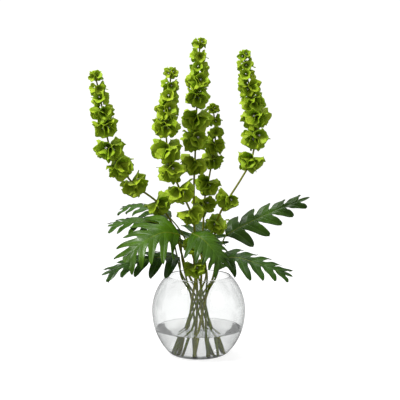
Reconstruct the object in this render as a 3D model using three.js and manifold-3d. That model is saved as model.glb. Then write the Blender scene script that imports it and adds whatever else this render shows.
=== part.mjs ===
// Five cut stems of bells of Ireland and eight split philodendron leaves, standing in water in a round glass bowl.
// Millimetres, +Z up, -Y to the front. The origin is the centre of the bowl's flat base.
import * as THREE from "three";
import { mergeVertices } from "three/addons/utils/BufferGeometryUtils.js";
import Module from "manifold-3d";

const wasm = await Module();
wasm.setup();

// ---- driving dimensions ----
const GAP = 0.3; // air between pieces that would touch
const BOWL = { radius: 102, waist: 99, upper: 105, lower: 120, foot: 44, heel: 9, height: 176.5, wall: 3, floor: 7 };
const WALL_HEIGHTS = [30, 46, 64, 82, 100, 118, 136, 153, 166, 175]; // rings of the bowl's wall, above its heel
const WATER_LEVEL = 59;
const ROUND = 32; // facets round the bowl and the water

// The stems cross in a twisted sheaf: each one stands on the floor, passes the narrow waist and leans out at the neck.
const SHEAF = { slots: 11, foot: 46, waist: 15.5, neck: 40, footZ: 9.5, waistZ: 118, neckZ: 178 };
const FOOT_TURN = -70; // degrees from a rod's waist azimuth back to its foot
const NECK_TURN = 62; // and on to its neck
const FIRST_SLOT = 325; // neck azimuth of slot 0, counted from +X towards +Y

const STALK = { foot: 3.0, tip: 1.6, sides: 8, ring: 30 };
const PETIOLE = { foot: 2.7, tip: 1.5, sides: 6, ring: 30 };

// Width of a whorl, from the tip of a stem down, before the stem's own factor.
const WHORL_SPANS = [28, 35, 38, 46, 50, 58, 58, 56, 52, 50, 46];

// slot is a stem's place in the sheaf, or null for one that runs up the middle. route holds its points above
// the neck (all of them for a middle one), whorls the heights of its rings of bells from the tip down.
const STEMS = [
  {
    name: "left",
    slot: 5,
    size: 1.0,
    route: [[-38, 22, 222], [-52, 6, 276], [-86, -10, 335], [-139, -22, 379], [-168, -30, 419], [-188, -36, 458],
      [-198, -40, 505], [-207, -44, 563], [-219, -45, 619]],
    whorls: [610, 586, 563, 535, 505, 458, 419, 379, 335],
  },
  {
    name: "left_centre",
    slot: 9,
    size: 1.03,
    route: [[-10, -44, 222], [-8, -42, 276], [-16, -46, 319], [-38, -52, 368], [-58, -55, 415], [-66, -55, 457],
      [-68, -54, 508], [-62, -52, 568], [-57, -50, 625]],
    whorls: [617, 592, 566, 538, 507, 457, 415, 368, 319, 252, 200],
  },
  {
    name: "tall",
    slot: null,
    size: 1.04,
    route: [[-8, -14, 9.5], [-3, -3, 118], [-5, 0, 178], [-9, 2, 262], [-10, 3, 375], [-8, 0, 423], [-5, 2, 517],
      [-1, 7, 599], [3, 10, 686]],
    whorls: [678, 653, 626, 598, 566, 517, 475, 423],
  },
  {
    name: "back",
    slot: null,
    size: 0.9,
    route: [[16, 12, 9.5], [5, 5, 118], [6, 14, 178], [10, 32, 280], [13, 44, 337], [20, 50, 371], [28, 56, 412],
      [36, 61, 457], [36, 62, 499], [31, 62, 546]],
    whorls: [537, 512, 484, 457, 425, 372, 326],
  },
  {
    name: "right",
    slot: 2,
    size: 1.0,
    route: [[38, 16, 222], [36, 0, 280], [46, -8, 313], [64, -8, 345], [92, 0, 388], [114, 8, 428], [123, 14, 478],
      [124, 18, 521], [110, 20, 586], [104, 20, 611], [97, 20, 662]],
    whorls: [654, 633, 612, 586, 555, 520, 477, 427, 344, 290],
  },
];

// midrib runs from the petiole to the tip, face is the way the upper side looks, half the widest reach of the lobes.
const LEAVES = [
  {
    name: "front_left",
    slot: 8,
    petiole: [[-36, -42, 222], [-37, -52, 250]],
    midrib: [[-40, -62, 276], [-72, -84, 284], [-104, -101, 274], [-132, -112, 254], [-154, -118, 228]],
    face: [-0.35, -0.75, 0.55],
    half: 70,
    notch: 0.34,
    droop: 0.2,
  },
  {
    name: "front_right",
    slot: 10,
    petiole: [[12, -50, 222], [-4, -54, 254]],
    midrib: [[-14, -66, 280], [6, -82, 272], [24, -93, 256], [40, -100, 236], [50, -103, 212]],
    face: [0.35, -0.65, 0.67],
    half: 54,
    notch: 0.55,
    droop: 0.3,
  },
  {
    name: "middle_left",
    slot: 6,
    petiole: [[-48, 4, 222], [-57, -14, 264]],
    midrib: [[-66, -26, 285], [-98, -27, 298], [-132, -27, 300], [-164, -30, 296], [-194, -32, 290]],
    face: [0.05, -0.35, 0.95],
    half: 50,
    notch: 0.24,
    droop: 0.3,
  },
  {
    name: "back_left",
    slot: 4,
    petiole: [[-18, 46, 225], [-44, 52, 272]],
    midrib: [[-62, 64, 292], [-92, 78, 308], [-122, 90, 316], [-150, 100, 316], [-178, 108, 308]],
    face: [0.1, -0.3, 0.95],
    half: 48,
    notch: 0.24,
    droop: 0.25,
  },
  {
    name: "low_left",
    slot: 7,
    petiole: [[-40, -20, 204]],
    midrib: [[-42, -34, 222], [-78, -52, 226], [-120, -64, 221], [-163, -72, 209], [-204, -76, 192]],
    face: [-0.15, -0.45, 0.88],
    half: 50,
    notch: 0.24,
    droop: 0.3,
  },
  {
    name: "upper_right",
    slot: 1,
    petiole: [[46, 8, 218], [52, 22, 244]],
    midrib: [[60, 34, 260], [100, 48, 280], [146, 58, 301], [194, 70, 320], [246, 80, 338]],
    face: [0.1, -0.6, 0.76],
    half: 45,
    notch: 0.24,
    droop: 0.4,
  },
  {
    name: "low_right",
    slot: 0,
    petiole: [[38, -28, 204]],
    midrib: [[46, -34, 220], [82, -40, 223], [120, -45, 213], [162, -48, 200], [200, -50, 184]],
    face: [0.25, -0.5, 0.83],
    half: 50,
    notch: 0.24,
    droop: 0.25,
  },
  {
    name: "back",
    slot: 3,
    petiole: [[8, 52, 200]],
    midrib: [[4, 64, 212], [2, 80, 234], [4, 100, 254], [8, 124, 268], [12, 152, 272]],
    face: [0, -0.75, 0.66],
    half: 66,
    notch: 0.3,
    droop: 0.2,
  },
];
const YOUNG_WHORLS = 3; // from the tip, still small and half closed
const WHORL_TURN = 0.9; // each whorl is turned this far round the stem from the one above
const COLLAR = { sides: 6, half: 3, wall: 2.2 };
const CUP_SIDES = 6;
const LOBES = 5; // pairs on a leaf, below its end lobe
const END_LOBE = 0.8; // length of the end lobe, in lobe pitches
const LOBE_ANGLES = [68, 28]; // from the midrib, at the leaf's base and at its tip
const LOBE_FILL = 0.8; // width of a lobe, as a share of the room it has
const LOBE_ROWS = [[0.3, 0.5], [0.68, 0.44]]; // [share of the way from notch to tip, share of the width]
const BLADE = 1.4; // thickness of a leaf blade

// ---- helpers ----
const radians = THREE.MathUtils.degToRad;
const vectors = (points) => points.map((p) => new THREE.Vector3(...p));

function solidOf(geometry) {
  const bare = geometry.clone();
  bare.deleteAttribute("normal");
  bare.deleteAttribute("uv");
  const merged = mergeVertices(bare, 1e-3);
  const triVerts = new Uint32Array(merged.index.array);
  const solid = new wasm.Manifold(
    new wasm.Mesh({ numProp: 3, vertProperties: merged.attributes.position.array, triVerts }),
  );
  if (solid.volume() > 0) return solid;
  for (let i = 0; i < triVerts.length; i += 3) {
    [triVerts[i + 1], triVerts[i + 2]] = [triVerts[i + 2], triVerts[i + 1]];
  }
  return new wasm.Manifold(new wasm.Mesh({ numProp: 3, vertProperties: merged.attributes.position.array, triVerts }));
}

function geometryOf(solid) {
  const mesh = solid.getMesh();
  const geometry = new THREE.BufferGeometry();
  geometry.setAttribute("position", new THREE.BufferAttribute(mesh.vertProperties, 3));
  geometry.setIndex(new THREE.BufferAttribute(mesh.triVerts, 1));
  geometry.computeVertexNormals();
  return geometry;
}

// A solid of revolution about +Z, from a closed or axis-to-axis profile of [radius, height] points.
function turned(profile, segments) {
  const points = profile.map(([r, z]) => new THREE.Vector2(r, z));
  return solidOf(new THREE.LatheGeometry(points, segments).rotateX(Math.PI / 2));
}

// Cuts the neighbours away and keeps the largest piece that is left.
function clearOf(solid, neighbours) {
  const left = neighbours.reduce((rest, other) => rest.subtract(other), solid);
  return left.decompose().sort((a, b) => b.volume() - a.volume())[0];
}

// ---- bowl and water ----
// Outer radius of the bowl's wall at a height: one ellipse above its widest ring, a longer one below.
function bowlRadius(z) {
  const rise = z - BOWL.waist;
  return BOWL.radius * Math.sqrt(1 - (rise / (rise > 0 ? BOWL.upper : BOWL.lower)) ** 2);
}

// Points up the bowl's wall, inset by a thickness, from a flat floor at floorZ through the given heights.
function wallProfile(inset, floorZ, heights) {
  const heelZ = floorZ + BOWL.heel;
  const heel = new THREE.QuadraticBezierCurve(
    new THREE.Vector2(BOWL.foot - inset, floorZ),
    new THREE.Vector2(bowlRadius(floorZ) - inset - 2, floorZ),
    new THREE.Vector2(bowlRadius(heelZ) - inset, heelZ),
  );
  const corner = heel.getPoints(3).map((p) => [p.x, p.y]);
  return [[0, floorZ], ...corner, ...heights.map((z) => [bowlRadius(z) - inset, z])];
}

function bowl() {
  const lip = [bowlRadius(BOWL.height) - BOWL.wall / 2, BOWL.height];
  const outside = wallProfile(0, 0, WALL_HEIGHTS);
  const inside = wallProfile(BOWL.wall, BOWL.floor, WALL_HEIGHTS).reverse();
  return turned([...outside, lip, ...inside], ROUND);
}

// The water fills the bowl's own inner profile, a gap away from the glass, and leaves room for the rods.
function water(rods) {
  const wet = WALL_HEIGHTS.filter((z) => z < WATER_LEVEL);
  const edge = wallProfile(BOWL.wall, BOWL.floor, wet).map(([r, z]) => [Math.max(0, r - GAP), z + GAP]);
  const surface = [bowlRadius(WATER_LEVEL) - BOWL.wall - 3 * GAP, WATER_LEVEL];
  return clearOf(turned([...edge, surface, [0, WATER_LEVEL]], ROUND), rods);
}

// ---- stems and petioles ----
// Foot, waist and neck of one rod of the sheaf.
function sheafPoints(slot) {
  if (slot === null) return [];
  const neck = FIRST_SLOT + (slot * 360) / SHEAF.slots;
  const at = (azimuth, r, z) => [r * Math.cos(radians(azimuth)), r * Math.sin(radians(azimuth)), z];
  return [
    at(neck - NECK_TURN + FOOT_TURN, SHEAF.foot, SHEAF.footZ),
    at(neck - NECK_TURN, SHEAF.waist, SHEAF.waistZ),
    at(neck, SHEAF.neck, SHEAF.neckZ),
  ];
}

const curveOf = (points) => new THREE.CatmullRomCurve3(vectors(points), false, "centripetal");

// A round rod along a curve, tapering from foot to tip. grow thickens it, to cut room for it in a neighbour.
function rod(path, { foot, tip, sides, ring }, grow = 0) {
  const corners = [];
  for (let i = 0; i < sides; i++) {
    const turn = (i / sides) * 2 * Math.PI;
    corners.push(new THREE.Vector2(Math.cos(turn), Math.sin(turn)));
  }
  const steps = Math.round(path.getLength() / ring);
  const options = { steps, extrudePath: path, bevelEnabled: false };
  const geometry = new THREE.ExtrudeGeometry(new THREE.Shape(corners), options);
  const centres = path.getSpacedPoints(steps);
  const position = geometry.attributes.position;
  const point = new THREE.Vector3();
  for (let i = 0; i < position.count; i++) {
    point.fromBufferAttribute(position, i);
    let k = 0;
    centres.forEach((c, j) => {
      if (c.distanceToSquared(point) < centres[k].distanceToSquared(point)) k = j;
    });
    const radius = THREE.MathUtils.lerp(foot, tip, k / steps) + grow;
    point.sub(centres[k]).multiplyScalar(radius).add(centres[k]);
    if (k === 0) point.addScaledVector(path.getTangentAt(0), -grow);
    position.setXYZ(i, point.x, point.y, point.z);
  }
  return solidOf(geometry);
}

// ---- whorls of bells ----
// Where a rod passes a height, the way it runs there, and how thick it is.
function stationAt(path, { foot, tip, ring }, z) {
  const steps = Math.round(path.getLength() / ring);
  const centres = path.getSpacedPoints(steps);
  const above = Math.max(1, centres.findIndex((c) => c.z > z));
  const from = centres[above - 1];
  const to = centres[above];
  const share = (z - from.z) / (to.z - from.z);
  return {
    point: from.clone().lerp(to, share),
    tangent: to.clone().sub(from).normalize(),
    radius: THREE.MathUtils.lerp(foot, tip, (above - 1) / steps),
  };
}

// One ring of cup-shaped bells on a collar round the stem. span is its full width, grow a skin of air round it.
function whorl(station, span, order, grow = 0) {
  const young = order < YOUNG_WHORLS;
  const bells = young ? 4 : 5;
  const bore = (station.radius + 2 * GAP) / Math.cos(Math.PI / COLLAR.sides);
  const section = [
    [bore, -COLLAR.half],
    [bore + COLLAR.wall, -COLLAR.half],
    [bore + COLLAR.wall, COLLAR.half],
    [bore, COLLAR.half],
    [bore, -COLLAR.half],
  ];
  let solid = turned(section, COLLAR.sides);
  const depth = span * 0.45 - bore - 1 + grow;
  const mouth = Math.min((span / 2) * Math.tan(Math.PI / bells) * 0.85, span * (young ? 0.3 : 0.34)) + grow;
  const cupSection = [[0, 0], [mouth, depth], [0, depth * 0.45 + grow]];
  const cup = new THREE.LatheGeometry(cupSection.map((p) => new THREE.Vector2(...p)), CUP_SIDES);
  for (let i = 0; i < bells; i++) {
    const azimuth = (i / bells) * 2 * Math.PI + order * WHORL_TURN;
    const lean = young ? 0.2 : i % 2 ? -0.25 : 0.28;
    const bell = cup.clone().translate(0, bore + 1, 0).rotateX(lean).rotateZ(azimuth);
    solid = solid.add(solidOf(bell));
  }
  const upright = new THREE.Quaternion().setFromUnitVectors(new THREE.Vector3(0, 0, 1), station.tangent);
  const placed = geometryOf(solid).applyQuaternion(upright);
  return solidOf(placed.translate(...station.point.toArray()));
}

// Half of the flat blade, as triangles of [share of the midrib, distance to the side]: the lobes and the tip.
function halfSheet(length, half, notch) {
  const pitch = 1 / (LOBES + END_LOBE);
  const angleAt = (root) => radians(LOBE_ANGLES[0] + (LOBE_ANGLES[1] - LOBE_ANGLES[0]) * root);
  const reachAt = (root) => half * (1.3 - 0.75 * root) * Math.min(1, 0.8 + 1.2 * root);
  const notchAt = (k) => {
    const out = notch * reachAt(Math.min(k * pitch, 1 - pitch));
    const angle = angleAt(k * pitch);
    return [k * pitch + (out * Math.cos(angle)) / length, out * Math.sin(angle)];
  };
  const triangles = [];
  for (let k = 0; k < LOBES; k++) {
    const root = (k + 0.5) * pitch; // where the lobe's vein leaves the midrib
    const angle = angleAt(root);
    const onLobe = (share, side) => {
      const out = reachAt(root) * share;
      return [root + (out * Math.cos(angle)) / length + side * LOBE_FILL * pitch, out * Math.sin(angle)];
    };
    const rows = [
      [[k * pitch, 0], [root, 0], [(k + 1) * pitch, 0]],
      [notchAt(k), onLobe(notch, 0), notchAt(k + 1)],
      ...LOBE_ROWS.map(([way, side]) => [-side, 0, side].map((s) => onLobe(notch + (1 - notch) * way, s))),
    ];
    for (let i = 0; i + 1 < rows.length; i++) {
      const [low, high] = [rows[i], rows[i + 1]];
      triangles.push([low[0], low[1], high[1]], [low[0], high[1], high[0]]);
      triangles.push([low[1], low[2], high[1]], [low[2], high[2], high[1]]);
    }
    const [behind, middle, ahead] = rows.at(-1);
    triangles.push([behind, middle, onLobe(1, 0)], [middle, ahead, onLobe(1, 0)]);
  }
  triangles.push([[LOBES * pitch, 0], [1, 0], notchAt(LOBES)]);
  return triangles;
}

// Carries a point of the flat blade to its place: along the midrib, out to one side, and off the surface.
function bladePlacer(leaf) {
  const midrib = curveOf(leaf.midrib);
  const face = new THREE.Vector3(...leaf.face).normalize();
  return (u, v, w) => {
    const share = THREE.MathUtils.clamp(u, 0, 1);
    const tangent = midrib.getTangentAt(share);
    const side = new THREE.Vector3().crossVectors(face, tangent).normalize();
    const normal = new THREE.Vector3().crossVectors(tangent, side);
    const sag = -leaf.droop * Math.abs(v) * (Math.abs(v) / leaf.half);
    return midrib
      .getPointAt(share)
      .addScaledVector(tangent, (u - share) * midrib.getLength())
      .addScaledVector(side, v)
      .addScaledVector(normal, sag + w);
  };
}

function blade(leaf, grow = 0) {
  const triangles = halfSheet(curveOf(leaf.midrib).getLength(), leaf.half, leaf.notch);
  const mirrored = triangles.map((corners) => corners.map(([u, v]) => [u, -v]).reverse());
  const flat = [];
  const numbers = new Map();
  const numberOf = ([u, v]) => {
    const key = `${u.toFixed(6)} ${(v + 0).toFixed(4).replace("-0.0000", "0.0000")}`;
    if (!numbers.has(key)) {
      numbers.set(key, flat.length);
      flat.push([u, v]);
    }
    return numbers.get(key);
  };
  const sheet = [...triangles, ...mirrored].map((corners) => corners.map(numberOf));

  const place = bladePlacer(leaf);
  const half = BLADE / 2 + grow;
  const positions = [];
  for (const w of [half, -half]) {
    for (const [u, v] of flat) positions.push(...place(u, v, w).toArray());
  }
  const n = flat.length;
  const faces = [];
  const edges = new Set();
  for (const [a, b, c] of sheet) {
    faces.push([a, b, c], [c + n, b + n, a + n]);
    for (const edge of [[a, b], [b, c], [c, a]]) edges.add(edge.join());
  }
  // An edge that no other triangle walks the other way is on the rim, and gets a wall.
  for (const edge of edges) {
    const [a, b] = edge.split(",").map(Number);
    if (!edges.has(`${b},${a}`)) faces.push([b, a, a + n], [b, a + n, b + n]);
  }
  const geometry = new THREE.BufferGeometry();
  geometry.setAttribute("position", new THREE.Float32BufferAttribute(positions, 3));
  geometry.setIndex(faces.flat());
  return solidOf(geometry);
}

// ---- assembly ----
const colours = {
  glass: new THREE.MeshStandardMaterial({ color: "#e9eeee", roughness: 0.04, transparent: true, opacity: 0.3 }),
  water: new THREE.MeshStandardMaterial({ color: "#dfe8e4", roughness: 0.02, transparent: true, opacity: 0.4 }),
  stalk: new THREE.MeshStandardMaterial({ color: "#5c6b22", roughness: 0.6 }),
  bells: new THREE.MeshStandardMaterial({ color: "#86a81c", roughness: 0.7 }),
  leaf: new THREE.MeshStandardMaterial({ color: "#2c5a17", roughness: 0.4 }),
};

const arrangement = new THREE.Group();
function addPiece(name, solid, material) {
  const mesh = new THREE.Mesh(geometryOf(solid), material);
  mesh.name = name;
  arrangement.add(mesh);
}

const stalks = STEMS.map((stem) => curveOf([...sheafPoints(stem.slot), ...stem.route]));
const petioles = LEAVES.map((leaf) => curveOf([...sheafPoints(leaf.slot), ...leaf.petiole, leaf.midrib[0]]));
const room = [
  ...stalks.map((path) => rod(path, STALK, GAP + 0.15)),
  ...petioles.map((path) => rod(path, PETIOLE, GAP + 0.15)),
];

addPiece("bowl", bowl(), colours.glass);
addPiece("water", water(room), colours.water);
STEMS.forEach((stem, i) => addPiece(`${stem.name}_stalk`, rod(stalks[i], STALK), colours.stalk));

const taken = [];
LEAVES.forEach((leaf, i) => {
  const others = room.filter((_, k) => k !== STEMS.length + i);
  const own = clearOf(blade(leaf), [...others, ...taken]);
  addPiece(`${leaf.name}_leaf`, own.add(rod(petioles[i], PETIOLE)), colours.leaf);
  taken.push(blade(leaf, GAP + 0.15));
});

STEMS.forEach((stem, i) => {
  stem.whorls.forEach((z, k) => {
    const station = stationAt(stalks[i], STALK, z);
    const span = WHORL_SPANS[k] * stem.size;
    const others = room.filter((_, m) => m !== i);
    const solid = clearOf(whorl(station, span, k), [...others, ...taken]);
    addPiece(`${stem.name}_bells_${k + 1}`, solid, colours.bells);
    taken.push(whorl(station, span, k, 2 * GAP));
  });
});

export default arrangement;
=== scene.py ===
import math
import random

import bpy
from mathutils import Matrix, Vector


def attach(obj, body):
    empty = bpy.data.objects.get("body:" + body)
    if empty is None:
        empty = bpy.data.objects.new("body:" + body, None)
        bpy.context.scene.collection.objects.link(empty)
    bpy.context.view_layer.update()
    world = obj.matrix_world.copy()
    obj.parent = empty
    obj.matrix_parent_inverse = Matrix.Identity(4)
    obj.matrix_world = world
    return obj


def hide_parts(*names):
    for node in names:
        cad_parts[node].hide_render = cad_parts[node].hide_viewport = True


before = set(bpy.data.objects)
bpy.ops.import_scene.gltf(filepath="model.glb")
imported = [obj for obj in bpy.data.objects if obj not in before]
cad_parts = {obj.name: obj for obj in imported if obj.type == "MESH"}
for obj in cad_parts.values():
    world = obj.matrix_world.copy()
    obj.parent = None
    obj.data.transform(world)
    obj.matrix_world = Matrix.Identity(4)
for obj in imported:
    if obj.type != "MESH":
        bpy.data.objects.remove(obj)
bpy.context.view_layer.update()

# Five stems of bells of Ireland and eight split leaves in a round glass bowl of water. The tables below
# are in millimetres and repeat the routes of the CAD model's stems and leaves. Every mesh is in metres.
MM = 0.001

BOWL = {
    "radius": 102, "waist": 99, "upper": 105, "lower": 120, "foot": 44, "heel": 9, "height": 176.5,
    "wall": 3, "floor": 7,
}
WATER_LEVEL = 59
SHEAF = {"slots": 11, "foot": 46, "waist": 15.5, "neck": 40, "foot_z": 9.5, "waist_z": 118, "neck_z": 178}
FOOT_TURN = -70  # degrees from a rod's waist azimuth back to its foot
NECK_TURN = 62  # and on to its neck
FIRST_SLOT = 325  # azimuth of the first place at the neck
STALK_RADII = (3.0, 1.6)
PETIOLE_RADII = (2.7, 1.5)
WHORL_SPANS = [28, 35, 38, 46, 50, 58, 58, 56, 52, 50, 46]
WHORL_DROOPS = (0.25, 0.15, 0.05, -0.1, -0.2, -0.3, -0.4, -0.5)  # lean of the bells, from the tip down
WHORL_TURN = 0.9  # each whorl is turned this far round the stem from the one above
YOUNG_WHORLS = 3  # from the tip, still small and half closed
COLLAR_SIDES = 6
BELL_THICKNESS = 0.35
FLORET_CHANCE = 0.6
PHASE = 6.28  # about a full turn, for random phases
THIRD_OF_A_TURN = 2.0944

STEMS = [
    ("left", 5, 1.0,
     [(-38, 22, 222), (-52, 6, 276), (-86, -10, 335), (-139, -22, 379), (-168, -30, 419), (-188, -36, 458),
      (-198, -40, 505), (-207, -44, 563), (-219, -45, 619)],
     [610, 586, 563, 535, 505, 458, 419, 379, 335]),
    ("left_centre", 9, 1.03,
     [(-10, -44, 222), (-8, -42, 276), (-16, -46, 319), (-38, -52, 368), (-58, -55, 415), (-66, -55, 457),
      (-68, -54, 508), (-62, -52, 568), (-57, -50, 625)],
     [617, 592, 566, 538, 507, 457, 415, 368, 319, 252, 200]),
    ("tall", None, 1.04,
     [(-8, -14, 9.5), (-3, -3, 118), (-5, 0, 178), (-9, 2, 262), (-10, 3, 375), (-8, 0, 423), (-5, 2, 517),
      (-1, 7, 599), (3, 10, 686)],
     [678, 653, 626, 598, 566, 517, 475, 423]),
    ("back", None, 0.9,
     [(16, 12, 9.5), (5, 5, 118), (6, 14, 178), (10, 32, 280), (13, 44, 337), (20, 50, 371), (28, 56, 412),
      (36, 61, 457), (36, 62, 499), (31, 62, 546)],
     [537, 512, 484, 457, 425, 372, 326]),
    ("right", 2, 1.0,
     [(38, 16, 222), (36, 0, 280), (46, -8, 313), (64, -8, 345), (92, 0, 388), (114, 8, 428), (123, 14, 478),
      (124, 18, 521), (110, 20, 586), (104, 20, 611), (97, 20, 662)],
     [654, 633, 612, 586, 555, 520, 477, 427, 344, 290]),
]

# name, slot, petiole, midrib, the way the upper side faces, half the widest reach of the lobes, notch
# (how far out the blade is whole, as a share of the lobes' reach), droop, and how yellow and light its green
# is:
# partly the leaf's own tone, partly painted light, higher for the leaves up front in the light and lower for
# the low and back leaves in shade
LEAVES = [
    ("front_left", 8, [(-36, -42, 222), (-37, -52, 250)],
     [(-40, -62, 276), (-72, -84, 284), (-104, -101, 274), (-132, -112, 254), (-154, -118, 228)],
     (-0.35, -0.75, 0.55), 70, 0.34, 0.2, 0.55),
    ("front_right", 10, [(12, -50, 222), (-4, -54, 254)],
     [(-14, -66, 280), (6, -82, 272), (24, -93, 256), (40, -100, 236), (50, -103, 212)],
     (0.35, -0.65, 0.67), 54, 0.55, 0.3, 0.4),
    ("middle_left", 6, [(-48, 4, 222), (-57, -14, 264)],
     [(-66, -26, 285), (-98, -27, 298), (-132, -27, 300), (-164, -30, 296), (-194, -32, 290)],
     (0.05, -0.35, 0.95), 50, 0.24, 0.3, 0.3),
    ("back_left", 4, [(-18, 46, 225), (-44, 52, 272)],
     [(-62, 64, 292), (-92, 78, 308), (-122, 90, 316), (-150, 100, 316), (-178, 108, 308)],
     (0.1, -0.3, 0.95), 48, 0.24, 0.25, 0.15),
    ("low_left", 7, [(-40, -20, 204)],
     [(-42, -34, 222), (-78, -52, 226), (-120, -64, 221), (-163, -72, 209), (-204, -76, 192)],
     (-0.15, -0.45, 0.88), 50, 0.24, 0.3, 0.05),
    ("upper_right", 1, [(46, 8, 218), (52, 22, 244)],
     [(60, 34, 260), (100, 48, 280), (146, 58, 301), (194, 70, 320), (246, 80, 338)],
     (0.1, -0.6, 0.76), 45, 0.24, 0.4, 0.3),
    ("low_right", 0, [(38, -28, 204)],
     [(46, -34, 220), (82, -40, 223), (120, -45, 213), (162, -48, 200), (200, -50, 184)],
     (0.25, -0.5, 0.83), 50, 0.24, 0.25, 0.1),
    ("back", 3, [(8, 52, 200)],
     [(4, 64, 212), (2, 80, 234), (4, 100, 254), (8, 124, 268), (12, 152, 272)],
     (0, -0.75, 0.66), 66, 0.3, 0.2, 0.1),
]
LOBES = 5
END_LOBE = 0.8  # length of the end lobe, in lobe pitches
LOBE_ANGLES = (68, 28)  # from the midrib, at the leaf's base and at its tip
LOBE_FILL = 0.88  # width of a lobe, as a share of the room it has
LOBE_PITCH = 1 / (LOBES + END_LOBE)
BLADE_THICKNESS = 0.5


# ---- curves ----
class Path:
    """A centripetal Catmull-Rom curve through points, read by arc length."""

    def __init__(self, points, per_span=40):
        knots = [Vector(p) for p in points]
        knots = [2 * knots[0] - knots[1]] + knots + [2 * knots[-1] - knots[-2]]
        self.samples = [knots[1]]
        for p0, p1, p2, p3 in zip(knots, knots[1:], knots[2:], knots[3:]):
            d0, d1, d2 = ((b - a).length ** 0.5 for a, b in ((p0, p1), (p1, p2), (p2, p3)))
            m1 = ((p1 - p0) / d0 - (p2 - p0) / (d0 + d1) + (p2 - p1) / d1) * d1
            m2 = ((p2 - p1) / d1 - (p3 - p1) / (d1 + d2) + (p3 - p2) / d2) * d1
            for i in range(1, per_span + 1):
                t = i / per_span
                bend = (2 * p1 - 2 * p2 + m1 + m2) * t ** 3 + (-3 * p1 + 3 * p2 - 2 * m1 - m2) * t ** 2
                self.samples.append(bend + m1 * t + p1)
        self.lengths = [0.0]
        for a, b in zip(self.samples, self.samples[1:]):
            self.lengths.append(self.lengths[-1] + (b - a).length)
        self.length = self.lengths[-1]

    def _span(self, share):
        """The sample span that holds this share of the length, and how far into it."""
        want = min(max(share, 0.0), 1.0) * self.length
        low, high = 0, len(self.lengths) - 1
        while high - low > 1:
            middle = (low + high) // 2
            if self.lengths[middle] <= want:
                low = middle
            else:
                high = middle
        step = self.lengths[high] - self.lengths[low]
        return low, (want - self.lengths[low]) / step

    def at(self, share):
        i, t = self._span(share)
        return self.samples[i].lerp(self.samples[i + 1], t)

    def tangent(self, share):
        return (self.at(share + 0.004) - self.at(share - 0.004)).normalized()

    def station(self, z):
        """Share of the length at which the path first passes a height."""
        i = next(k for k, p in enumerate(self.samples) if p.z >= z and k)
        return self.lengths[i] / self.length


def radius_along(radii, share):
    return radii[0] + (radii[1] - radii[0]) * share


def sheaf_points(slot):
    """Foot, waist and neck of one rod of the sheaf."""
    if slot is None:
        return []
    neck = FIRST_SLOT + slot * 360 / SHEAF["slots"]

    def at(degrees, r, z):
        return (r * math.cos(math.radians(degrees)), r * math.sin(math.radians(degrees)), z)

    return [
        at(neck - NECK_TURN + FOOT_TURN, SHEAF["foot"], SHEAF["foot_z"]),
        at(neck - NECK_TURN, SHEAF["waist"], SHEAF["waist_z"]),
        at(neck, SHEAF["neck"], SHEAF["neck_z"]),
    ]


# ---- meshes ----
class Shape:
    """Collects grids of points, each with a vector mark for the materials, and makes one object of them."""

    def __init__(self):
        self.points = []
        self.marks = []
        self.faces = []
        self.slots = []

    def add(self, point, mark):
        self.points.append(point * MM)
        self.marks.append(mark)
        return len(self.points) - 1

    def face(self, corners, slot=0):
        self.faces.append(corners)
        self.slots.append(slot)

    def grid(self, rows, marks, closed=False, slot=0):
        ids = [[self.add(p, m) for p, m in zip(row, mark)] for row, mark in zip(rows, marks)]
        for low, high in zip(ids, ids[1:]):
            count = len(low) if closed else len(low) - 1
            for i in range(count):
                j = (i + 1) % len(low)
                self.face((low[i], low[j], high[j], high[i]), slot)
        return ids

    def fan(self, ring, centre, mark, slot=0):
        """Closes a ring of points with triangles to one point."""
        hub = self.add(centre, mark)
        for a, b in zip(ring, ring[1:] + ring[:1]):
            self.face((a, b, hub), slot)

    def build(self, name, materials, weld=0.00001):
        mesh = bpy.data.meshes.new(name)
        mesh.from_pydata(self.points, [], self.faces)
        attribute = mesh.attributes.new("mark", "FLOAT_VECTOR", "POINT")
        attribute.data.foreach_set("vector", [c for mark in self.marks for c in mark])
        mesh.polygons.foreach_set("material_index", self.slots)
        mesh.polygons.foreach_set("use_smooth", [True] * len(self.faces))
        for material in materials:
            mesh.materials.append(material)
        mesh.update()
        obj = bpy.data.objects.new(name, mesh)
        bpy.context.scene.collection.objects.link(obj)
        if weld:
            modifier = obj.modifiers.new("weld", "WELD")
            modifier.merge_threshold = weld
        return obj


def stands_for(obj, node):
    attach(obj, "root")
    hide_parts(node)


def thicken(obj, thickness):
    modifier = obj.modifiers.new("thickness", "SOLIDIFY")
    modifier.thickness = thickness * MM
    modifier.offset = 0


def tube(shape, path, radius_at, mark, sides=12, pitch=3.5, ribs=0.0, end=1.0, drop=None):
    """A round tube along a path up to share end, with closed ends."""
    steps = max(4, round(path.length * end / pitch))
    rows = []
    marks = []
    across = None
    for i in range(steps + 1):
        share = end * i / steps
        tangent = path.tangent(share)
        if across is None:
            across = tangent.orthogonal().normalized()
        across = (across - tangent * across.dot(tangent)).normalized()
        other = tangent.cross(across)
        centre = path.at(share) + (drop(share) if drop else Vector())
        row = []
        for k in range(sides):
            turn = 2 * math.pi * k / sides
            r = radius_at(share) * (1 + ribs * math.cos(4 * turn))
            row.append(centre + (across * math.cos(turn) + other * math.sin(turn)) * r)
        rows.append(row)
        marks.append([(math.cos(2 * math.pi * k / sides), share, mark) for k in range(sides)])
    ids = shape.grid(rows, marks, closed=True)
    shape.fan(ids[0][::-1], sum(rows[0], Vector()) / sides, marks[0][0])
    shape.fan(ids[-1], sum(rows[-1], Vector()) / sides, marks[-1][0])


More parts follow.
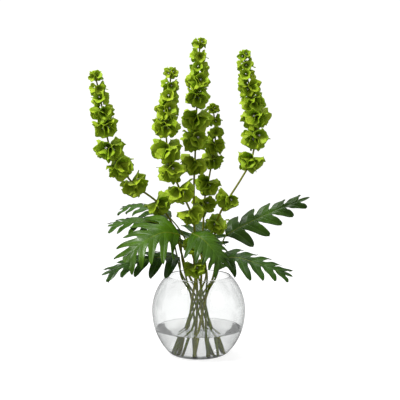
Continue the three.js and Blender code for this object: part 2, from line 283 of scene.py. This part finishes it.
# ---- materials ----
class Nodes:
    """A Principled material under construction: short ways to add and link nodes."""

    def __init__(self, name, **sockets):
        self.material = bpy.data.materials.new(name)
        self.material.use_nodes = True
        self.tree = self.material.node_tree
        self.shader = self.tree.nodes["Principled BSDF"]
        for socket, value in sockets.items():
            self.shader.inputs[socket.replace("_", " ")].default_value = value

    def add(self, kind, values=(), **settings):
        node = self.tree.nodes.new(kind)
        for key, value in settings.items():
            setattr(node, key, value)
        for socket, value in values:
            self.put(node.inputs[socket], value)
        return node

    def put(self, socket, value):
        if isinstance(value, bpy.types.NodeSocket):
            self.tree.links.new(value, socket)
        else:
            socket.default_value = value

    def math(self, operation, *values, clamp=False):
        node = self.add("ShaderNodeMath", enumerate(values), operation=operation, use_clamp=clamp)
        return node.outputs[0]

    def mix(self, factor, a, b):
        node = self.add("ShaderNodeMix", data_type="RGBA")
        self.put(node.inputs["Factor"], factor)
        self.put(node.inputs["A"], a)
        self.put(node.inputs["B"], b)
        return node.outputs["Result"]

    def ramp(self, factor, low, high):
        node = self.add("ShaderNodeMapRange", [("Value", factor), ("From Min", low), ("From Max", high)])
        return node.outputs[0]

    def noise(self, scale, detail=3.0, vector=None):
        node = self.add("ShaderNodeTexNoise", [("Scale", scale), ("Detail", detail)])
        where = vector or self.add("ShaderNodeTexCoord").outputs["Object"]
        self.tree.links.new(where, node.inputs["Vector"])
        return node.outputs["Fac"]

    def mark(self):
        """The three numbers of the mesh's mark."""
        attribute = self.add("ShaderNodeAttribute", attribute_name="mark")
        parts = self.add("ShaderNodeSeparateXYZ", [(0, attribute.outputs["Vector"])])
        return parts.outputs[0], parts.outputs[1], parts.outputs[2]

    def bump(self, height, strength, distance):
        values = [("Height", height), ("Strength", strength), ("Distance", distance)]
        node = self.add("ShaderNodeBump", values)
        self.tree.links.new(node.outputs[0], self.shader.inputs["Normal"])

    def colour(self, value):
        self.put(self.shader.inputs["Base Color"], value)

    def roughness(self, value):
        self.put(self.shader.inputs["Roughness"], value)


def bell_material():
    """Papery calyx: lime green, darkened towards the middle of the cup as painted shade in its hollow, paler
    at the rim, with a net of raised veins running out from the middle.
    """
    n = Nodes(
        "bells",
        Specular_IOR_Level=0.2,
        Subsurface_Weight=0.12,
        Subsurface_Radius=(0.004, 0.006, 0.001),
        Subsurface_Scale=0.5,
    )
    x, y, tint = n.mark()
    out = n.math("SQRT", n.math("ADD", n.math("MULTIPLY", x, x), n.math("MULTIPLY", y, y)))
    turn = n.math("ARCTAN2", y, x)
    spokes = n.math("ABSOLUTE", n.math("COSINE", n.math("MULTIPLY", turn, 5.0)))
    vein = n.ramp(spokes, 0.93, 1.0)
    cell = n.add("ShaderNodeTexVoronoi", [("Scale", 420.0)], feature="DISTANCE_TO_EDGE")
    n.tree.links.new(n.add("ShaderNodeTexCoord").outputs["Object"], cell.inputs["Vector"])
    net = n.ramp(cell.outputs["Distance"], 0.12, 0.0)
    lines = n.math("MAXIMUM", vein, n.math("MULTIPLY", net, 0.55))
    # painted shade: the colour at the middle of the cup, standing in for the shade in its hollow
    painted_hollow_shade = (0.05, 0.11, 0.003, 1)
    bright = (0.31, 0.47, 0.012, 1)
    yellow = (0.44, 0.52, 0.025, 1)
    shade = (0.13, 0.25, 0.005, 1)
    pale = (0.46, 0.58, 0.06, 1)
    # painted shade: the cup darkens from its rim to its middle, where its hollow lies in shade
    base = n.mix(n.ramp(out, 0.15, 0.8), painted_hollow_shade, bright)
    base = n.mix(n.math("MULTIPLY", tint, 0.6), base, yellow)
    base = n.mix(n.math("MULTIPLY", n.noise(90.0), 0.45), base, shade)
    n.colour(n.mix(n.math("MULTIPLY", lines, 0.35), base, pale))
    n.roughness(n.math("ADD", n.math("MULTIPLY", n.noise(160.0), 0.2), 0.45))
    n.bump(lines, 0.35, 0.0006)
    return n.material


def floret_material():
    n = Nodes("florets", Roughness=0.6, Subsurface_Weight=0.2, Subsurface_Scale=0.3)
    n.colour(n.mix(n.noise(400.0), (0.85, 0.86, 0.74, 1), (0.72, 0.66, 0.70, 1)))
    return n.material


def stalk_material(name="stalk", low=(0.08, 0.095, 0.001, 1), high=(0.26, 0.28, 0.004, 1)):
    """Smooth stem, streaked along its length, browner in patches."""
    n = Nodes(name, Specular_IOR_Level=0.2)
    across, along, _ = n.mark()
    stretched = [(0, n.math("MULTIPLY", across, 3.0)), (1, n.math("MULTIPLY", along, 9.0))]
    streaks = n.add("ShaderNodeCombineXYZ", stretched)
    streak = n.noise(4.0, 4.0, streaks.outputs[0])
    base = n.mix(streak, low, high)
    patches = n.ramp(n.noise(45.0), 0.5, 0.75)
    n.colour(n.mix(n.math("MULTIPLY", patches, 0.5), base, (0.17, 0.11, 0.02, 1)))
    n.roughness(n.math("ADD", n.math("MULTIPLY", streak, 0.25), 0.35))
    n.bump(streak, 0.25, 0.0005)
    return n.material


def leaf_material(name, yellow):
    """Glossy blade with a pale midrib and lobe veins, and finer side veins between them."""
    n = Nodes(name, Specular_IOR_Level=0.2)
    across, along, _ = n.mark()
    spread = n.math("ABSOLUTE", across)
    vein = n.ramp(spread, 0.12, 0.02)
    wave = n.math("SINE", n.math("ADD", n.math("MULTIPLY", along, 60.0), n.math("MULTIPLY", spread, -14.0)))
    side_vein = n.math("MULTIPLY", n.ramp(wave, 0.8, 1.0), 0.4)
    lines = n.math("MAXIMUM", vein, side_vein)
    # yellow makes the whole blade yellower and lighter: partly the leaf's own tone, partly painted light,
    # since the leaves in the light get more of it than those in shade
    dark = (0.007 + 0.03 * yellow, 0.026 + 0.065 * yellow, 0.001, 1)
    light = (0.024 + 0.08 * yellow, 0.078 + 0.14 * yellow, 0.003, 1)
    base = n.mix(n.ramp(n.noise(24.0), 0.3, 0.75), dark, light)
    n.colour(n.mix(n.math("MULTIPLY", lines, 0.35), base, (0.09, 0.20, 0.02, 1)))
    n.roughness(n.math("ADD", n.math("MULTIPLY", n.noise(120.0), 0.16), 0.26))
    n.bump(n.math("SUBTRACT", n.math("MULTIPLY", n.noise(60.0), 0.5), lines), 0.4, 0.0008)
    return n.material


def clear_material(name, ior, colour, edge, ripple, density):
    """Glass or water: clear, with painted shade that darkens it where it is seen edge on, standing in for
    the dark outline that bent light gives it there, and with a slight unevenness in its surface.
    """
    n = Nodes(name, Transmission_Weight=1.0, IOR=ior, Roughness=0.0)
    clear = n.mix(n.noise(6.0, 1.0), colour, tuple(c * 0.985 for c in colour[:3]) + (1,))
    # painted shade: where the surface is seen edge on, its colour turns to the dark edge colour in place of
    # the outline that bent light gives
    painted_edge_shade_mask = n.add("ShaderNodeLayerWeight", [("Blend", 0.5)]).outputs["Facing"]
    n.colour(n.mix(n.math("POWER", painted_edge_shade_mask, 4.0), clear, edge))
    n.bump(n.noise(14.0, 1.0), ripple, 0.001)
    depth = n.add("ShaderNodeVolumeAbsorption", [("Color", (0.12, 0.18, 0.16, 1)), ("Density", density)])
    n.tree.links.new(depth.outputs[0], n.tree.nodes["Material Output"].inputs["Volume"])
    return n.material


BELLS = bell_material()
FLORETS = floret_material()
STALK = stalk_material()
PETIOLE = stalk_material("petiole", (0.05, 0.085, 0.001, 1), (0.16, 0.21, 0.004, 1))
# the edge colours are painted shade: a dark outline for the glass, a faint one for the water
GLASS = clear_material("glass", 1.5, (0.99, 0.99, 0.99, 1), (0.06, 0.07, 0.07, 1), 0.01, 40.0)
WATER = clear_material("water", 1.333, (0.99, 0.99, 0.99, 1), (0.8, 0.82, 0.78, 1), 0.02, 0.3)


# ---- bowl and water ----
def bowl_radius(z):
    rise = z - BOWL["waist"]
    return BOWL["radius"] * math.sqrt(1 - (rise / (BOWL["upper"] if rise > 0 else BOWL["lower"])) ** 2)


def wall_profile(inset, floor_z, top, steps=70, heel_steps=14):
    """Points from the axis along the floor, round the heel and up the wall."""
    heel_z = floor_z + BOWL["heel"]
    end = Vector((bowl_radius(heel_z) - inset, heel_z))
    slope = bowl_radius(heel_z + 0.5) - bowl_radius(heel_z - 0.5)
    start = Vector((BOWL["foot"] - inset, floor_z))
    corner = Vector((end.x - slope * BOWL["heel"], floor_z))
    profile = [(0, floor_z)] + [(start.x * k / 8, floor_z) for k in range(1, 8)]
    for i in range(heel_steps + 1):
        t = i / heel_steps
        profile.append(tuple(start * (1 - t) ** 2 + corner * 2 * t * (1 - t) + end * t * t))
    for i in range(1, steps + 1):
        z = heel_z + (top - heel_z) * i / steps
        profile.append((bowl_radius(z) - inset, z))
    return profile


def lathe(name, profile, material, segments=144):
    shape = Shape()
    rows = []
    for r, z in profile[1:-1]:
        rows.append([
            Vector((r * math.cos(2 * math.pi * k / segments), r * math.sin(2 * math.pi * k / segments), z))
            for k in range(segments)
        ])
    blank = [[(0, 0, 0)] * segments] * len(rows)
    ids = shape.grid(rows, blank, closed=True)
    shape.fan(ids[0][::-1], Vector((0, 0, profile[0][1])), (0, 0, 0))
    shape.fan(ids[-1], Vector((0, 0, profile[-1][1])), (0, 0, 0))
    return shape.build(name, [material], weld=0)


def make_bowl():
    lip = BOWL["wall"] / 2
    top = BOWL["height"] - lip
    outside = wall_profile(0, 0, top)
    inside = wall_profile(BOWL["wall"], BOWL["floor"], top)[::-1]
    middle = bowl_radius(top) - lip
    turns = [math.pi * i / 8 for i in range(1, 8)]
    rim = [(middle + lip * math.cos(turn), top + lip * math.sin(turn)) for turn in turns]
    bowl = lathe("glass_bowl", outside + rim + inside, GLASS)
    stands_for(bowl, "bowl")


def make_water():
    into_glass = 0.8  # the water's skin lies inside the glass wall, so that no air shows between them
    meniscus = 1.3  # how far the water climbs the glass
    edge = wall_profile(BOWL["wall"] - into_glass, BOWL["floor"] - into_glass, WATER_LEVEL + meniscus, 30)
    wall_r = bowl_radius(WATER_LEVEL) - BOWL["wall"]
    surface = []
    for i in range(1, 12):
        inward = 0.6 * i
        surface.append((wall_r - inward, WATER_LEVEL + meniscus * math.exp(-inward / 1.6)))
    for i in range(1, 10):
        surface.append(((wall_r - 6.6) * (1 - i / 10), WATER_LEVEL))
    water = lathe("water_body", edge + surface + [(0, WATER_LEVEL)], WATER)
    stands_for(water, "water")


# ---- bells ----
def bell(shape, place, radius, depth, rng, rings=8, around=24, floret=True):
    """One calyx: a ruffled, five-lobed cup along local +Z of place, with a small two-lipped flower in it."""
    tint = rng.random()
    phases = [rng.uniform(0, 2 * math.pi) for _ in range(5)]
    lip = math.pi / 2 + rng.uniform(-0.5, 0.5)  # the longer, lower lip
    rows = []
    marks = []
    for i in range(rings + 1):
        t = i / rings
        row = []
        mark = []
        for k in range(around):
            a = 2 * math.pi * k / around
            ruffle = 0.08 * math.sin(5 * a + phases[0]) + 0.06 * math.sin(8 * a + phases[1])
            flare = 0.1 + 0.76 * t ** 0.75 + 0.14 * t ** 4
            r = radius * flare * (1 + t * t * (ruffle + 0.16 * math.cos(a - lip)))
            wave = 0.15 * math.sin(5 * a + phases[2]) + 0.15 * math.sin(3 * a + phases[3])
            wave += 0.06 * math.sin(9 * a + phases[4])
            z = depth * (t - 0.10 * t ** 5) + radius * t * t * wave + radius * 0.012 * math.cos(10 * a) * t
            row.append(place @ Vector((r * math.cos(a), r * math.sin(a), z)))
            mark.append((math.cos(a) * t, math.sin(a) * t, tint))
        rows.append(row)
        marks.append(mark)
    ids = shape.grid(rows, marks, closed=True)
    shape.fan(ids[0][::-1], place @ Vector((0, 0, -0.2)), (0, 0, tint))
    if not floret:
        return
    size = radius * 0.14
    low, high = [], []
    for k in range(10):
        a = 2 * math.pi * k / 10
        petal = 1.0 if k % 2 else 0.55
        low.append(place @ Vector((size * 0.35 * math.cos(a), size * 0.35 * math.sin(a), depth * 0.25)))
        high.append(place @ Vector((size * petal * math.cos(a), size * petal * math.sin(a), depth * 0.62)))
    ids = shape.grid([low, high], [[(0, 0, 0)] * 10] * 2, closed=True, slot=1)
    shape.fan(ids[1], place @ Vector((0, 0, depth * 0.5)), (0, 0, 0), slot=1)


def spine_bract(shape, place, length, rng):
    """A thin curved spine, such as stands under each whorl."""
    bend = rng.uniform(0.2, 0.5)
    rows = []
    for i in range(5):
        t = i / 4
        centre = Vector((0, -bend * length * t * t * 0.5, length * t))
        r = 0.55 * (1 - t) + 0.05
        turns = [THIRD_OF_A_TURN * k for k in range(3)]
        rows.append([place @ (centre + Vector((r * math.cos(a), r * math.sin(a), 0))) for a in turns])
    shape.grid(rows, [[(0.7, 0, 0.2)] * 3] * 5, closed=True)


def make_whorl(name, path, share, span, order, seed):
    rng = random.Random(seed)
    young = order < YOUNG_WHORLS
    cad_bells = 4 if young else 5
    bells = cad_bells + (1 if young else 2)
    radius_here = radius_along(STALK_RADII, share)
    bore = (radius_here + 0.6) / math.cos(math.pi / COLLAR_SIDES)
    depth = span * 0.45 - bore + 2
    mouth = min(span / 2 * math.tan(math.pi / cad_bells) * 0.85, span * (0.3 if young else 0.34)) * 1.02
    upright = Vector((0, 0, 1)).rotation_difference(path.tangent(share)).to_matrix().to_4x4()
    droop = WHORL_DROOPS[min(order, len(WHORL_DROOPS) - 1)]
    centre = Matrix.Translation(path.at(share)) @ upright @ Matrix.Translation((0, 0, -droop * depth * 0.5))
    shape = Shape()
    for i in range(bells):
        azimuth = 2 * math.pi * i / bells + order * WHORL_TURN + rng.uniform(-0.12, 0.12)
        lean = droop + (-0.28, 0.24)[i % 2] + rng.uniform(-0.16, 0.16)
        outward = Matrix.Rotation(-math.pi / 2, 4, "X")
        turned = Matrix.Rotation(azimuth, 4, "Z") @ Matrix.Rotation(lean, 4, "X") @ outward
        place = centre @ turned @ Matrix.Translation((0, 0, radius_here * 0.6))
        size = rng.uniform(0.94, 1.12)
        bell(shape, place, mouth * size, depth * size, rng, floret=rng.random() < FLORET_CHANCE)
    for i in range(bells):
        azimuth = 2 * math.pi * (i + 0.5) / bells + rng.uniform(-0.2, 0.2)
        turned = Matrix.Rotation(azimuth, 4, "Z") @ Matrix.Rotation(rng.uniform(1.9, 2.3), 4, "X")
        place = centre @ turned @ Matrix.Translation((0, 0, radius_here * 0.8))
        spine_bract(shape, place, 4 + span * 0.13, rng)
    if order == 0:
        for i in range(5):
            azimuth = 2 * math.pi * i / 5 + rng.uniform(-0.2, 0.2)
            turned = Matrix.Rotation(azimuth, 4, "Z") @ Matrix.Rotation(rng.uniform(0.25, 0.6), 4, "X")
            place = centre @ Matrix.Translation((0, 0, 5)) @ turned
            bell(shape, place, 4.5, 7, rng, 5, 12, floret=False)
    obj = shape.build(name.replace("_bells_", "_whorl_"), [BELLS, FLORETS])
    thicken(obj, BELL_THICKNESS)
    stands_for(obj, name)


def make_stem(name, slot, size, route, whorls, seed):
    path = Path(sheaf_points(slot) + route)
    shares = [path.station(z) for z in whorls]

    def radius_at(share):
        r = radius_along(STALK_RADII, share)
        swell = sum(math.exp(-((share - s) * path.length / 3.0) ** 2) for s in shares)
        return r * (1 + 0.22 * min(swell, 1.0))

    shape = Shape()
    tube(shape, path, radius_at, 0.0, sides=16, pitch=3.0, ribs=0.05)
    stalk = shape.build(name + "_stem", [STALK])
    stands_for(stalk, name + "_stalk")
    for order, share in enumerate(shares):
        node = f"{name}_bells_{order + 1}"
        make_whorl(node, path, share, WHORL_SPANS[order] * size, order, seed * 100 + order)


# ---- leaves ----
def vein_angle(root):
    return math.radians(LOBE_ANGLES[0] + (LOBE_ANGLES[1] - LOBE_ANGLES[0]) * root)


def lobe_reach(root, half):
    return half * (1.3 - 0.75 * root) * min(1, 0.8 + 1.2 * root)


def notch_at(k, length, half, notch):
    """Where the notch before lobe k lies on the flat blade, swept forward like the lobes."""
    out = notch * lobe_reach(min(k * LOBE_PITCH, 1 - LOBE_PITCH), half)
    angle = vein_angle(k * LOBE_PITCH)
    return Vector((k * LOBE_PITCH * length + out * math.cos(angle), out * math.sin(angle)))


def groove(v):
    """Depth of the fold along the midrib, at a distance to the side."""
    return 0.9 * math.exp(-(v / 1.6) ** 2)


def smooth(t):
    t = min(max(t, 0.0), 1.0)
    return t * t * (3 - 2 * t)


def make_leaf(name, slot, petiole, midrib_points, face, half, notch, droop, yellow, seed):
    rng = random.Random(seed)
    midrib = Path(midrib_points)
    up = Vector(face).normalized()
    length = midrib.length
    rng.random()  # a draw that isn't used, kept so that the lobes stay as they are

    def place(x, v, w):
        """A point of the flat blade, x along the midrib and v to one side, lifted w off the bent surface."""
        share = min(max(x / length, 0.0), 1.0)
        tangent = midrib.tangent(share)
        side = up.cross(tangent).normalized()
        normal = tangent.cross(side)
        sag = -droop * v * v / half
        return midrib.at(share) + tangent * (x - share * length) + side * v + normal * (sag + w)

    shape = Shape()
    columns = 12

    def bent_row(ends, middle):
        """Points from one edge of a lobe over its vein to the other edge."""
        half_row = columns // 2
        first = [ends[0].lerp(middle, c / half_row) for c in range(half_row)]
        return first + [middle.lerp(ends[1], c / half_row) for c in range(half_row + 1)]

    def lobe(hand, k):
        root = (k + 0.5) * LOBE_PITCH
        angle = vein_angle(root)
        reach = lobe_reach(root, half) * rng.uniform(0.96, 1.05)
        width = LOBE_FILL * LOBE_PITCH * length
        sweep = rng.uniform(0.02, 0.16)
        notches = (notch_at(k, length, half, notch), notch_at(k + 1, length, half, notch))
        vein = Vector((math.cos(angle), math.sin(angle))) * reach
        rows, marks = [], []
        inner = 4
        for j in range(inner):
            t = j / inner
            ends = [Vector(((k + i) * LOBE_PITCH * length, 0)).lerp(n, t) for i, n in enumerate(notches)]
            middle = Vector((root * length, 0)) + vein * notch * t
            rows.append(bent_row(ends, middle))
            marks.append([(2 * c / columns - 1, notch * t, 0) for c in range(columns + 1)])
        steps = 18
        for j in range(steps + 1):
            t = j / steps
            share = notch + (1 - notch) * t
            pointed = math.sqrt(max(0.0, 1 - max(0.0, (t - 0.25) / 0.75) ** 1.7))
            settle = smooth(t / 0.22)
            middle = Vector((root * length, 0)) + vein * share + Vector((reach * sweep * t * t, 0))
            ends = []
            for n, sign in zip(notches, (-1, 1)):
                free = middle + Vector((sign * width / 2 * pointed, 0))
                tied = n + vein * (share - notch)
                ends.append(tied.lerp(free, settle))
            rows.append(bent_row(ends, middle))
            marks.append([(2 * c / columns - 1, share, 0) for c in range(columns + 1)])
        curl = rng.uniform(2, 7)
        wave = rng.uniform(0, PHASE)
        solid_rows = []
        for row, mark in zip(rows, marks):
            share = mark[0][1]
            line = []
            for p, m in zip(row, mark):
                edge = abs(m[0])
                w = 0.9 * smooth(edge) * width / 16 * smooth(share * 3)
                w -= 0.5 * math.exp(-(m[0] / 0.12) ** 2) * smooth(share * 4)
                w += 1.1 * edge * math.sin(share * 11 + wave + m[0]) * smooth(share * 2)
                w -= curl * share ** 3 + groove(p.y)
                line.append(place(p.x, hand * p.y, w))
            solid_rows.append(line)
        if hand < 0:
            solid_rows = [line[::-1] for line in solid_rows]
            marks = [[(-x, y, z) for x, y, z in line[::-1]] for line in marks]
        shape.grid(solid_rows, marks)

    for k in range(LOBES):
        lobe(1, k)
        lobe(-1, k)

    # The end lobe, from the last pair of notches to the tip.
    last = notch_at(LOBES, length, half, notch)
    first_x = LOBES / (LOBES + END_LOBE) * length
    rows, marks = [], []
    for j in range(15):
        t = j / 14
        taper = (1 + 0.25 * math.sin(math.pi * t)) * math.sqrt(max(0.0, 1 - t ** 1.6))
        line, mark = [], []
        for c in range(-6, 7):
            across = c / 6
            x = first_x + abs(across) * (last.x - first_x) * (1 - t) + (length * 1.015 - first_x) * t
            v = across * last.y * taper
            line.append(place(x, v, -groove(v)))
            mark.append((across, 0.4 + t * 0.5, 0))
        rows.append(line)
        marks.append(mark)
    shape.grid(rows, marks)

    def rib_drop(share):
        """The rib hangs under the blade."""
        tangent = midrib.tangent(share)
        side = up.cross(tangent).normalized()
        return tangent.cross(side) * -1.5

    blade = shape.build(name + "_blade", [leaf_material("leaf_" + name, yellow)], weld=0.00015)
    thicken(blade, BLADE_THICKNESS)
    stem = Shape()
    path = Path(sheaf_points(slot) + petiole + [midrib_points[0]])
    tube(stem, path, lambda s: radius_along(PETIOLE_RADII, s), 0.0, pitch=4.0)
    tube(stem, midrib, lambda s: 1.5 * (1 - s) + 0.35, 0.0, sides=8, pitch=4.0, end=0.96, drop=rib_drop)
    rod = stem.build(name + "_petiole", [PETIOLE])
    stands_for(blade, name + "_leaf")
    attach(rod, "root")


# ---- stage ----
def plain(name, colour, glow=0.0):
    n = Nodes(name, Roughness=0.8, Emission_Color=(1, 1, 1, 1), Emission_Strength=glow)
    n.colour(n.mix(n.noise(3.0), colour, tuple(c * 0.99 for c in colour[:3]) + (1,)))
    return n.material


def make_stage():
    """A pale floor that curves up into a wall all round, soft lights, and dark cards at the back.

    The cards are seen only in gloss and through glass.
    """
    segments = 96
    flat = 3300  # radius of the flat floor
    bend = 900  # radius of the curve up to the wall
    wall = 6000
    card_radius, card_height = 1300, 700
    aim = Vector((0, 0, 0.3))
    profile = [(flat, 0)]
    for i in range(1, 13):
        turn = math.pi / 2 * i / 12
        profile.append((flat + bend * math.sin(turn), bend - bend * math.cos(turn)))
    profile.append((flat + bend, wall))
    sink = 0.2  # the floor lies this far under the bowl, so that the two don't flicker
    rows = []
    for radius, z in profile:
        turns = [2 * math.pi * k / segments for k in range(segments)]
        rows.append([Vector((radius * math.cos(a), radius * math.sin(a), z - sink)) for a in turns])
    shape = Shape()
    ids = shape.grid(rows, [[(0, 0, 0)] * segments] * len(rows), closed=True)
    shape.fan(ids[0][::-1], Vector((0, 0, -sink)), (0, 0, 0))
    floor = shape.build("floor", [plain("floor", (0.3, 0.3, 0.3, 1), glow=0.84)], weld=0)
    floor.visible_diffuse = False  # it would light the flowers from below more than a white sweep does
    floor.visible_glossy = False  # the sky's grey then outlines the glass

    world = bpy.data.worlds.new("studio")
    world.use_nodes = True
    world.node_tree.nodes["Background"].inputs["Color"].default_value = (1, 1, 1, 1)
    world.node_tree.nodes["Background"].inputs["Strength"].default_value = 0.4
    bpy.context.scene.world = world

    for name, spot, size, power in (
        ("key", (-1.6, -1.1, 2.5), 0.8, 105),
        ("fill", (2.2, -1.6, 1.6), 1.8, 12),
        ("top", (0.2, 0.8, 2.8), 1.6, 40),
    ):
        light = bpy.data.lights.new(name, "AREA")
        light.shape = "DISK"
        light.size = size
        light.energy = power
        lamp = bpy.data.objects.new(name, light)
        lamp.location = spot
        lamp.rotation_euler = (aim - Vector(spot)).to_track_quat("-Z", "Y").to_euler()
        bpy.context.scene.collection.objects.link(lamp)

    for name, hand in (("card_left", -1), ("card_right", 1)):
        card = Shape()
        rows = []
        for degrees in range(51, 83, 4):
            a = math.radians(degrees)
            spot = Vector((hand * card_radius * math.sin(a), card_radius * math.cos(a), 0))
            rows.append([spot, spot + Vector((0, 0, card_height))])
        card.grid(rows, [[(0, 0, 0)] * 2] * len(rows))
        board = card.build(name, [plain("card", (0.02, 0.02, 0.02, 1))], weld=0)
        board.visible_camera = False
        board.visible_diffuse = False
        board.visible_shadow = False


def make_camera():
    """The photograph's angle: level with the flowers' lower half, looking seven degrees down."""
    distance = 2.5
    aim_x, aim_z = 0.003, 0.342
    tilt = math.radians(7)
    data = bpy.data.cameras.new("camera")
    data.sensor_width = 36
    data.lens = 103.7
    camera = bpy.data.objects.new("camera", data)
    camera.location = (aim_x, -distance * math.cos(tilt), aim_z + distance * math.sin(tilt))
    camera.rotation_euler = (math.pi / 2 - tilt, 0, 0)
    bpy.context.scene.collection.objects.link(camera)
    bpy.context.scene.camera = camera


make_camera()
make_stage()
make_bowl()
make_water()
for seed, stem in enumerate(STEMS, 1):
    make_stem(*stem, seed)
for seed, leaf in enumerate(LEAVES, 31):
    make_leaf(*leaf, seed)
bpy.context.scene.view_settings.view_transform = "Standard"

bpy.context.view_layer.update()
